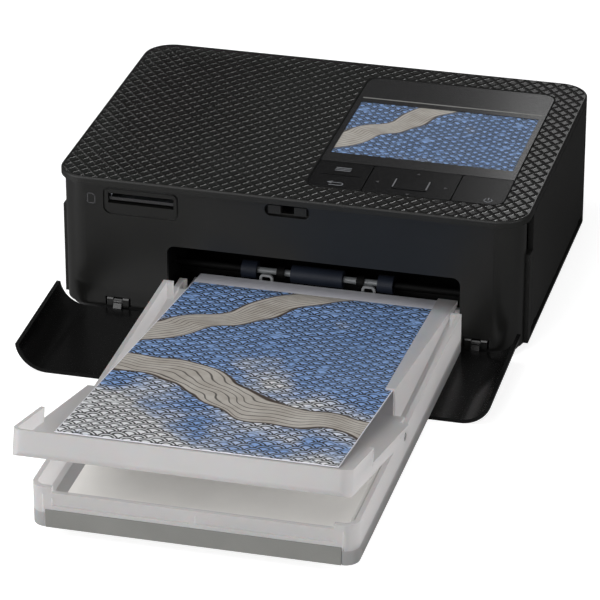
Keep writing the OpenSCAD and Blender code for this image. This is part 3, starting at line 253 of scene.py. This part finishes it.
# ------------------------------------------------------------ generic artwork
def scale_lines(n, u, v, flat, stroke):
    """Strength of the lines of rows of scales, every other row set half a scale aside."""
    pitch, rise = 0.07, 0.027
    radii, reach = (0.5, 0.3), 0.54  # arcs in each scale, and the scale's own radius, in pitches
    bend = n.times(n.minus(n.noise(3.0, coord=flat), 0.5), 0.1)
    bu, bv = n.plus(u, bend), n.minus(v, bend)
    row = n.math("FLOOR", n.over(bv, rise))
    odd = n.fraction(n.times(row, 0.5))
    lines = 0.0
    for step in (0, 1, 2):
        # Scales that start in this row, then those of the two rows below, which lie over them
        aside = n.size(n.minus(odd, 0.5 if step == 1 else 0.0))
        across = n.minus(n.fraction(n.plus(n.over(bu, pitch), aside)), 0.5)
        up = n.minus(n.over(bv, pitch), n.times(n.minus(row, float(step)), rise / pitch))
        far = n.math("SQRT", n.plus(n.times(across, across), n.times(up, up)))
        arcs = [n.remap(n.size(n.minus(far, radius)), stroke, stroke * 1.7, 1, 0)
            for radius in radii]
        inside = n.math("LESS_THAN", far, reach)
        lines = n.plus(n.times(n.math("MAXIMUM", *arcs), inside),
            n.times(lines, n.minus(1.0, inside)))
    worn = n.remap(n.noise(16, coord=flat), 0.32, 0.42, 0.4, 1)
    return n.times(lines, worn)


def add_bank(n, colour, u, v, flat, tilt, place, wide, seed):
    """Lays a stone-coloured bank with fine wavy grain and a dark rim over the colour."""
    wave = n.times(n.minus(n.noise(1.7, coord=n.mapped((1, 1, 1), (seed, 0, 0), flat)), 0.5), 0.55)
    line = n.plus(n.plus(v, wave), n.times(u, tilt))
    off = n.size(n.minus(line, place))
    ripple = n.plus(n.times(line, 34.0), n.times(n.noise(4.0, coord=flat), 2.6))
    grain = n.size(n.minus(n.fraction(ripple), 0.5))
    stone = n.mix(n.noise(9, 3.0, 0.6, flat), rgb("dad7d0"), rgb("8d8378"))
    stone = n.mix(n.remap(grain, 0.05, 0.12, 0.85, 0), stone, rgb("3b3733"))
    inside = n.remap(off, wide, wide + 0.004, 1, 0)
    rim = n.times(n.remap(off, wide - 0.012, wide - 0.008, 0, 1), inside)
    return n.mix(inside, colour, n.mix(rim, stone, rgb("4a3f38")))


def picture(name, origin, scale, shade, stroke, glow=0.0, margin=None):
    """Generic artwork: small dark-lined scales in blue and white, crossed by two banks.

    origin is a point of the picture in the row frame and scale its size, both in metres.
    shade darkens it, stroke is the lines' width and glow its own light. margin is
    (u0, u1, v0, v1) of the printed area, with a white border around it."""
    n = Nodes(name)
    base = n.add("ShaderNodeMapping", vector_type="TEXTURE")
    n.link(n.coord, base.inputs["Vector"])
    base.inputs["Location"].default_value = origin
    base.inputs["Scale"].default_value = (scale, scale, scale)
    u, v, _ = n.split(base.outputs["Vector"])
    plane = n.add("ShaderNodeCombineXYZ")
    n.link(u, plane.inputs[0])
    n.link(v, plane.inputs[1])
    flat = plane.outputs[0]
    cloud = n.plus(n.noise(2.0, 4.0, 0.55, flat), n.times(n.minus(v, 0.8), -0.16))
    water = n.mix(n.noise(5.0, coord=flat), rgb("7ea4dc"), rgb("9dbcea"))
    water = n.mix(n.remap(cloud, 0.5, 0.62, 0, 1), water, rgb("eef0f2"))
    colour = n.mix(scale_lines(n, u, v, flat, stroke), water, rgb("161618"))
    for tilt, place, wide, seed in ((0.42, 0.55, 0.105, 3.0), (-0.9, 1.62, 0.13, 9.0)):
        colour = add_bank(n, colour, u, v, flat, tilt, place, wide, seed)
    colour = n.mix(shade, colour, rgb("26272a"))
    if margin:
        u0, u1, v0, v1 = margin
        hit = n.times(n.math("GREATER_THAN", u, u0), n.math("LESS_THAN", u, u1))
        hit = n.times(hit, n.times(n.math("GREATER_THAN", v, v0), n.math("LESS_THAN", v, v1)))
        colour = n.mix(hit, n.mix(n.noise(30, coord=flat), rgb("d4d4de"), rgb("e4e4ea")), colour)
    n.set(Base_Color=colour, Roughness=n.spread(n.noise(60, coord=flat), 0.32, 0.4),
        Specular_IOR_Level=0.3)
    if glow:
        n.set(Emission_Color=colour, Emission_Strength=glow)
    return n.mat


def middle_key():
    """Key gloss with a painted highlight: a light line near the key's left and right edges, where
    the key's rim would catch the light.
    """
    n = Nodes("middle_key_gloss_painted_highlight")
    low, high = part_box("ok_key")
    mid, half = (low + high) / 2, (high - low) / 2
    place = n.split(n.coord)
    past_x, past_y = (n.minus(n.size(n.minus(place[i], mid[i])), half[i]) for i in (0, 1))
    # Painted highlight: mask of the light line near the key's left and right edges
    rim = n.times(n.remap(past_x, -0.55 * MM, -0.4 * MM, 0, 1),
        n.remap(past_y, -1.6 * MM, -0.9 * MM, 1, 0))
    tone = n.mix(n.noise(60, 3.0), rgb("060607"), rgb("09090a"))
    # The painted highlight's light grey laid over the key's dark tone
    n.set(Base_Color=n.mix(rim, tone, rgb("77777a")),
        Roughness=n.spread(n.noise(900), 0.16, 0.24), Specular_IOR_Level=0.2)
    return n.mat


# ------------------------------------------------------------ the part's materials
BLACK = moulded("case_black", "131312", 0.5, grain=2600, bump=0.05, spec=0.3)
FRONT = moulded("front_black", "0f0f0e", 0.32, grain=2600, bump=0.02, spec=0.46)
TOP = moulded("top_knurled", "161615", 0.17, grain=2200, bump=0.004)
FLAP = moulded("flap_black", "080808", 0.24, grain=2000, bump=0.001, spec=0.28)
GLOSS = moulded("panel_gloss", "111112", 0.2, grain=900, bump=0.01, coat=0.3)
KEYS = moulded("key_gloss", "070708", 0.2, grain=900, bump=0.02, spec=0.2)
DARK = moulded("dark_plastic", "1d1d1e", 0.5)
INNER = moulded("inner_black", "060606", 0.7, spec=0.15)
RUBBER = moulded("rubber", "1e2026", 0.72, grain=1500, bump=0.2, spec=0.25)
NAVY = moulded("roller_rubber", "161c28", 0.6, grain=1500, bump=0.2, spec=0.3)
CLOUDY = cloudy("cloudy_clear", "c9c8c8", 0.88)
BASE_CLOUDY = cloudy("cloudy_base", "afaeae", 0.94)
GREY = moulded("grey_plastic", "757572", 0.5, vary=0.06, grain=1600)
PALE = moulded("pale_plastic", "d2d2ce", 0.5, vary=0.04, grain=1600)
GUIDE = moulded("guide_grey", "8a8c8e", 0.4, vary=0.06)
CREAM = moulded("gear_cream", "d9d4c4", 0.5, vary=0.05)
SHAFT = moulded("shaft_grey", "75787a", 0.4)
STEEL = metal("bright_steel", "b9bcc0", 0.3)
ZINC = metal("zinc_plate", "9ea2a5", 0.42, (300, 60, 60))
BRASS = metal("brass", "b8924a", 0.32)
BOARD = moulded("board_green", "1f5a33", 0.4, vary=0.2, mottled=200)
AMBER = moulded("ribbon_film", "a8701f", 0.25, coat=0.4)
SMOKE = moulded("spent_film", "4a4e55", 0.25, coat=0.4)
PAPER = moulded("paper_white", "eceae6", 0.7, vary=0.03)
MARK = moulded("key_marks", "707276", 0.5, vary=0.04)
# Light grey painted as the highlight on the display window's bevel
BEVEL_HIGHLIGHT = moulded("window_bevel_painted_highlight", "7c7c79", 0.35, vary=0.05)
LINE = moulded("moulded_mark", "3c3c3e", 0.35, vary=0.05)

# The print and the display share the same kind of generic picture
PRINT_UNIT, DISPLAY_UNIT = 0.1, 0.0715  # metres of each picture's unit length
print_lo, print_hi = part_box("printed_sheet")
PRINT_FACE = picture("print_face", ((print_lo.x + print_hi.x) / 2, print_lo.y, 0), PRINT_UNIT,
    shade=0.06, stroke=0.045, margin=(-0.4975, 0.4975, 0.003, 1.712))
display_lo, display_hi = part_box("lcd_display")
DISPLAY_FACE = picture("display_face", ((display_lo.x + display_hi.x) / 2, display_hi.y - 0.12, 0),
    DISPLAY_UNIT, shade=0.14, stroke=0.055, glow=0.03)

paint = {
    "base_pan": DARK, "rubber_feet": RUBBER, "base_screws": STEEL, "outer_case": BLACK,
    "front_panel": FRONT, "top_cover": TOP, "control_panel": GLOSS, "menu_back_key": KEYS,
    "nav_key": KEYS, "ok_key": middle_key(), "power_key": KEYS, "panel_board": BOARD,
    "main_board": BOARD, "card_reader": STEEL, "latch_catch": BLACK, "power_jack": DARK,
    "usb_port": STEEL, "left_frame_plate": INNER, "right_frame_plate": INNER,
    "frame_cross_bar": INNER, "paper_guide": GUIDE, "feed_roller": NAVY,
    "feed_idler_gear": CREAM, "capstan_idler_gear": CREAM, "feed_motor": STEEL,
    "feed_motor_pinion": BRASS, "platen_roller": RUBBER, "capstan_roller": STEEL,
    "pinch_roller": RUBBER, "thermal_head": ZINC, "head_pivot_rod": STEEL,
    "ribbon_motor": STEEL, "ribbon_pinion": BRASS, "ribbon_drive_gear": CREAM,
    "cartridge_shell": DARK, "supply_spool": AMBER, "takeup_spool": SMOKE, "ink_door": BLACK,
    "ink_door_pins": STEEL, "front_cover": FLAP, "front_cover_pins": LINE,
    "cassette_base": BASE_CLOUDY, "cassette_case": CLOUDY, "cassette_grip": GREY,
    "inner_lid": CLOUDY, "paper_platform": PALE, "paper_stack": PAPER, "output_lid": CLOUDY,
    "output_lid_pins": STEEL, "printed_sheet": PRINT_FACE, "lcd_display": DISPLAY_FACE,
}
for name, material in paint.items():
    materials = frame["nodes"][name].data.materials
    materials.clear()
    materials.append(material)


def repaint(node, choose, *materials):
    """Adds materials to a CAD piece. choose turns a face centre into a material number, or 0."""
    mesh = frame["nodes"][node].data
    for material in materials:
        mesh.materials.append(material)
    for poly in mesh.polygons:
        number = choose(poly.center)
        if number:
            poly.material_index = number


# Bare shaft beside the feed roller's rubber rings, dark towards its ends
FEED_AXIS = fit(0, 26, 13.6)
SHAFT_R, RING_CORE_R = 1.45 * MM, 2.6 * MM
BRIGHT_X = (-28 * MM, 44 * MM)


def feed_shaft(c):
    off = math.hypot(c.y - FEED_AXIS.y, c.z - FEED_AXIS.z)
    bright = BRIGHT_X[0] < c.x < BRIGHT_X[1] and off < SHAFT_R
    return 0 if off >= RING_CORE_R else 1 if bright else 2


repaint("feed_roller", feed_shaft, SHAFT, INNER)
# Dark mouth of the card reader, and light loops on the dark guide plate
repaint("card_reader", lambda c: 1 if c.y < fit(0, 3.2, 0).y else 0, DARK)
repaint("paper_guide", lambda c: 1 if c.y > fit(0, 25, 0).y else 0, INNER)


# ------------------------------------------------------------ helpers for modelled pieces
def link_mesh(name, bm, material, body=None):
    mesh = bpy.data.meshes.new(name)
    bm.to_mesh(mesh)
    bm.free()
    mesh.materials.append(material)
    obj = bpy.data.objects.new(name, mesh)
    scene.collection.objects.link(obj)
    if body:
        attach(obj, body)
    return obj


def arc(cx, cy, r, a0, a1, steps):
    """Points of an arc from angle a0 to a1 in degrees."""
    turns = [math.radians(a0 + (a1 - a0) * i / steps) for i in range(steps + 1)]
    return [(cx + r * math.cos(a), cy + r * math.sin(a)) for a in turns]


def rounded(x0, y0, x1, y1, r):
    """Corner points of a flat rounded rectangle, anticlockwise."""
    corners = ((x1 - r, y0 + r, -90), (x1 - r, y1 - r, 0), (x0 + r, y1 - r, 90),
        (x0 + r, y0 + r, 180))
    return [p for cx, cy, turn in corners for p in arc(cx, cy, r, turn, turn + 90, 10)]


def add_prism(bm, low_ring, high_ring):
    """Closed solid between two rings of as many points."""
    low = [bm.verts.new(p) for p in low_ring]
    high = [bm.verts.new(p) for p in high_ring]
    bm.faces.new(low[::-1])
    bm.faces.new(high)
    for i in range(len(low)):
        j = (i + 1) % len(low)
        bm.faces.new((low[i], low[j], high[j], high[i]))


def flat_prism(points, z0, z1):
    """Solid between z0 and z1 over flat points, in fit millimetres."""
    bm = bmesh.new()
    add_prism(bm, [fit(x, y, z0) for x, y in points], [fit(x, y, z1) for x, y in points])
    return bm


def carve(obj, other, operation):
    """Exact boolean of obj with other, applied; other is removed."""
    mod = obj.modifiers.new("cut", "BOOLEAN")
    mod.operation = operation
    mod.solver = "EXACT"
    mod.object = other
    depsgraph = bpy.context.evaluated_depsgraph_get()
    mesh = bpy.data.meshes.new_from_object(obj.evaluated_get(depsgraph))
    obj.modifiers.clear()
    old = obj.data
    obj.data = mesh
    bpy.data.meshes.remove(old)
    bpy.data.objects.remove(other)


# ------------------------------------------------------------ knurled top cover
PANEL = (3.8, 14.5, 79.1, 119.5)  # control panel's plate: x0, y0, x1, y1
PANEL_R, PANEL_RIM = 5.7, 0.7  # corner radius and width of the plain strip around the plate
TOP_Z, EDGE = 57.6, 0.85  # top of the body, and the radius of its upper edge
KNURL_X, KNURL_Y = 5.0, 6.1  # pitch of the diamonds
KNURL_H, KNURL_FLAT = 0.22, 0.55  # their height, and the flat top's share of a diamond
KNURL_TOP = TOP_Z - 0.02
KNURL_ROOT = TOP_Z - 1.0  # underside of the field, sunk in the cover


def top_region(z0, z1):
    """Solid over the flat of the top between its rounded edge and the control panel's frame."""
    x0, y0, x1, y1 = PANEL
    outer = link_mesh("region", flat_prism(rounded(EDGE - HALF_W, EDGE, HALF_W - EDGE,
        BODY_D - EDGE, CORNER - EDGE), z0, z1), TOP)
    hole = link_mesh("hole", flat_prism(rounded(x0 - PANEL_RIM, y0 - PANEL_RIM, x1 + PANEL_RIM,
        y1 + PANEL_RIM, PANEL_R), z0 - 1, z1 + 1), TOP)
    carve(outer, hole, "DIFFERENCE")
    return outer


def knurl():
    """Field of low flat-topped diamonds in rows set half a pitch apart."""
    bm = bmesh.new()
    made = {}

    def ring(cx, cy, share, z):
        """Corners of one diamond, shared with its neighbours."""
        spots = []
        for x, y in ((hx, 0), (0, hy), (-hx, 0), (0, -hy)):
            p = (cx + x * share, cy + y * share, z)
            key = tuple(round(value, 3) for value in p)
            if key not in made:
                made[key] = bm.verts.new(fit(*p))
            spots.append(made[key])
        return spots

    hx, hy = KNURL_X / 2, KNURL_Y / 2
    rows, columns = int(BODY_D / hy) + 3, int(HALF_W / KNURL_X) + 2
    for row in range(rows):
        for column in range(-columns, columns + 1):
            centre = column * KNURL_X + (hx if row % 2 else 0.0), row * hy
            low = ring(*centre, 1, KNURL_TOP - KNURL_H)
            high = ring(*centre, KNURL_FLAT, KNURL_TOP)
            bm.faces.new(high)
            for i in range(4):
                j = (i + 1) % 4
                bm.faces.new((low[i], low[j], high[j], high[i]))
    grown = bmesh.ops.extrude_face_region(bm, geom=list(bm.faces), use_keep_orig=True)
    for item in grown["geom"]:
        if isinstance(item, bmesh.types.BMVert):
            item.co.z = KNURL_ROOT * MM
    bmesh.ops.recalc_face_normals(bm, faces=list(bm.faces))
    return link_mesh("knurl", bm, TOP)


def knurled_cover():
    """The CAD cover with its flat top cut away and the field of diamonds laid in.

    The rounded edge is matt, and a dark line of painted shade, standing in for the shade in the
    groove, runs around the control panel's plate."""
    bm = bmesh.new()
    bm.from_mesh(frame["nodes"]["top_cover"].data)
    bmesh.ops.remove_doubles(bm, verts=list(bm.verts), dist=0.001 * MM)
    bmesh.ops.recalc_face_normals(bm, faces=list(bm.faces))
    bm.normal_update()
    for face in bm.faces:
        face.material_index = 1 if abs(face.normal.z) < 0.99 else 0
    cover = link_mesh("knurled_top_cover", bm, TOP)
    cover.data.materials.append(BLACK)
    carve(cover, top_region(KNURL_TOP - KNURL_H, TOP_Z + 1), "DIFFERENCE")
    field = knurl()
    carve(field, top_region(TOP_Z - 0.9, TOP_Z + 1), "INTERSECT")
    bm = bmesh.new()
    for piece in (cover, field):
        bm.from_mesh(piece.data)
        bpy.data.objects.remove(piece)
    cover = link_mesh("knurled_top_cover", bm, TOP, body_of("top_cover"))
    cover.data.materials.append(BLACK)
    cover.data.materials.append(INNER)
    # Painted shade: the flat strip around the control panel's plate gets the inner black, standing
    # in for the shade in the groove there
    reach = PANEL_RIM + 0.5
    low = fit(PANEL[0] - reach, PANEL[1] - reach, TOP_Z - 0.01)
    high = fit(PANEL[2] + reach, PANEL[3] + reach, TOP_Z)
    for poly in cover.data.polygons:
        spots = [cover.data.vertices[i].co for i in poly.vertices]
        if all(low.x < p.x < high.x and low.y < p.y < high.y and p.z > low.z for p in spots):
            poly.material_index = 2
    return cover


cover = knurled_cover()
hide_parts("top_cover")

# ------------------------------------------------------------ signs on the keys and the front
KEY_Z = 57.4
KEY_STROKE = 0.4


def add_sign(name, rings, material, body):
    """One piece of several thin prisms, each given as its lower and upper ring of points."""
    bm = bmesh.new()
    for low, high in rings:
        add_prism(bm, low, high)
    bmesh.ops.recalc_face_normals(bm, faces=list(bm.faces))
    return link_mesh(name, bm, material, body)


def flat_mark(name, shapes, z, body, lift=0.05, material=MARK):
    """Thin raised shapes on an upper face, given in x and y."""
    add_sign(name, [[[fit(x, y, level) for x, y in points] for level in (z, z + lift)]
        for points in shapes], material, body)


def upright_mark(name, shapes, y, body, lift, material):
    """Thin raised shapes on the front panel, given in x and z."""
    add_sign(name, [[[fit(x, level, z) for x, z in points] for level in (y, y - lift)]
        for points in shapes], material, body)


def bar(x0, y0, x1, y1):
    return [(x0, y0), (x1, y0), (x1, y1), (x0, y1)]


def ring_arc(cx, cy, r, a0, a1):
    """Bent stroke along an arc."""
    half = KEY_STROKE / 2
    return arc(cx, cy, r + half, a0, a1, 20) + arc(cx, cy, r - half, a1, a0, 20)


def arrow(x, y, way_x, way_y, length, half):
    """Triangle with its tip at x, y that points along way."""
    bx, by = x - way_x * length, y - way_y * length
    return [(x, y), (bx + way_y * half, by - way_x * half), (bx - way_y * half, by + way_x * half)]


back_x, back_y, back_r = 16.2, 18.2, 1.1
near, far = back_r - KEY_STROKE / 2, back_r + KEY_STROKE / 2
back = [bar(12.0, back_y - far, back_x, back_y - near), ring_arc(back_x, back_y, back_r, -90, 90),
    bar(12.4, back_y + near, back_x, back_y + far), arrow(11.0, back_y + back_r, -1, 0, 1.9, 1.1)]
menu = [bar(11.4, y, 17.4, y + 0.5) for y in (29.9, 31.15, 32.4)]
flat_mark("back_and_menu_marks", back + menu, KEY_Z, "menu_back_rocker")
flat_mark("arrow_marks", [arrow(28.6, 24, -1, 0, 1.3, 0.8), arrow(56.4, 24.4, 1, 0, 1.3, 0.8),
    arrow(43.1, 34.8, 0, 1, 1.2, 0.7), arrow(42.8, 14.9, 0, -1, 1.1, 0.7)], KEY_Z, "nav_ring",
    material=LINE)

# Painted highlight: a flat light line at the display window's rear edge, standing in for the light
# on its bevel
flat_mark("window_bevel", [bar(5.6, 98.9, 77.8, 99.7)], 57.5, "printer_body", 0.04, BEVEL_HIGHLIGHT)

# Card sign beside the card slot: a sheet's outline with one corner cut off
card_x0, card_x1, card_z0, card_z1, line_w = -78.3, -75.1, 46.2, 50.5, 0.35
upright_mark("card_sign", [bar(card_x0, card_z0, card_x0 + line_w, card_z1),
    bar(card_x0, card_z0, card_x1, card_z0 + line_w),
    bar(card_x1 - line_w, card_z0, card_x1, card_z1 - 0.8),
    bar(card_x0, card_z1 - line_w, card_x1 - 1.1, card_z1),
    [(card_x1 - 1.2, card_z1 - line_w), (card_x1 - 0.25, card_z1 - 1.15),
        (card_x1, card_z1 - 0.9), (card_x1 - 1.0, card_z1)]],
    1.55, "printer_body", 0.04, LINE)

# Power sign: an open ring with a short bar in the gap
power_x, power_y = 73.2, 18
flat_mark("power_mark", [ring_arc(power_x, power_y, 1.5, -235, 55),
    bar(power_x - KEY_STROKE / 2, power_y + 0.2, power_x + KEY_STROKE / 2, power_y + 2.2)],
    KEY_Z, "power_button")


# ------------------------------------------------------------ surroundings
def floor_material():
    """White floor with a faint shadow to the camera, darker behind the part to its reflections."""
    n = Nodes("floor_white")
    along = n.split(n.coord)[1]
    n.set(Base_Color=n.mix(n.remap(along, -0.1, 0.15, 0, 1), (0.38, 0.38, 0.38, 1),
        (0.1, 0.1, 0.1, 1)), Roughness=0.9)
    glow = n.add("ShaderNodeEmission")
    glow.inputs["Color"].default_value = (1, 1, 1, 1)
    glow.inputs["Strength"].default_value = 0.8
    matt = n.add("ShaderNodeBsdfDiffuse")
    matt.inputs["Color"].default_value = (0.5, 0.5, 0.5, 1)
    seen = n.add("ShaderNodeAddShader")
    n.link(glow.outputs[0], seen.inputs[0])
    n.link(matt.outputs[0], seen.inputs[1])
    path = n.add("ShaderNodeLightPath")
    n.surface(n.blend(path.outputs["Is Camera Ray"], n.bsdf.outputs[0], seen.outputs[0]))
    return n.mat


FLOOR = 4  # half width, in metres
floor_mesh = bpy.data.meshes.new("floor")
floor_mesh.from_pydata([(-FLOOR, -FLOOR, 0), (FLOOR, -FLOOR, 0), (FLOOR, FLOOR, 0),
    (-FLOOR, FLOOR, 0)], [], [(0, 1, 2, 3)])
floor_mesh.materials.append(floor_material())
floor = bpy.data.objects.new("floor", floor_mesh)
scene.collection.objects.link(floor)


def studio_world():
    """Even grey surroundings, darker behind the part, and plain white to the camera."""
    world = bpy.data.worlds.new("studio")
    world.use_nodes = True
    tree = world.node_tree
    dim = next(node for node in tree.nodes if node.type == "BACKGROUND")
    out = next(node for node in tree.nodes if node.type == "OUTPUT_WORLD")
    dim.inputs["Color"].default_value = (1, 1, 1, 1)
    around = tree.nodes.new("ShaderNodeTexCoord")
    way = tree.nodes.new("ShaderNodeSeparateXYZ")
    fade = tree.nodes.new("ShaderNodeMapRange")
    for key, value in (("From Min", -0.3), ("From Max", 0.4), ("To Min", 0.42), ("To Max", 0.09)):
        fade.inputs[key].default_value = value
    white = tree.nodes.new("ShaderNodeBackground")
    white.inputs["Color"].default_value = (1, 1, 1, 1)
    white.inputs["Strength"].default_value = 1.0
    path = tree.nodes.new("ShaderNodeLightPath")
    blend = tree.nodes.new("ShaderNodeMixShader")
    for a, b in ((around.outputs["Generated"], way.inputs[0]),
            (way.outputs[1], fade.inputs["Value"]),
            (fade.outputs["Result"], dim.inputs["Strength"]),
            (path.outputs["Is Camera Ray"], blend.inputs[0]),
            (dim.outputs[0], blend.inputs[1]), (white.outputs[0], blend.inputs[2]),
            (blend.outputs[0], out.inputs["Surface"])):
        tree.links.new(a, b)
    return world


scene.world = studio_world()


def softbox(name, place, aim, size, power):
    light = bpy.data.lights.new(name, "AREA")
    light.shape = "RECTANGLE"
    light.size, light.size_y = size
    light.energy = power
    obj = bpy.data.objects.new(name, light)
    scene.collection.objects.link(obj)
    obj.location = place
    obj.rotation_mode = "QUATERNION"
    obj.rotation_quaternion = (Vector(aim) - Vector(place)).to_track_quat("-Z", "Y")


# name, place, aim, size in metres, watts
for lamp in (
        ("key_light", (-0.5, -0.6, 1.5), (0, -0.05, 0.03), (1.3, 1.1), 15.5),
        ("front_light", (-0.65, -1.85, 0.7), (0, -0.02, 0.04), (1.1, 0.5), 15),
        ("right_light", (1.3, -0.6, 0.6), (0, -0.1, 0.03), (0.6, 0.6), 7),
        ("rear_card", (-0.78, 1.85, 0.2), (0, 0.02, 0.05), (0.75, 0.3), 1.7),
        ("rear_upper_card", (0.12, 2.05, 1.08), (0.04, 0.05, 0.05), (0.9, 0.32), 1.55),
        ("left_strip", (-0.8, -0.45, 0.06), (-0.08, 0.0, 0.03), (0.14, 0.1), 4.2)):
    softbox(*lamp)
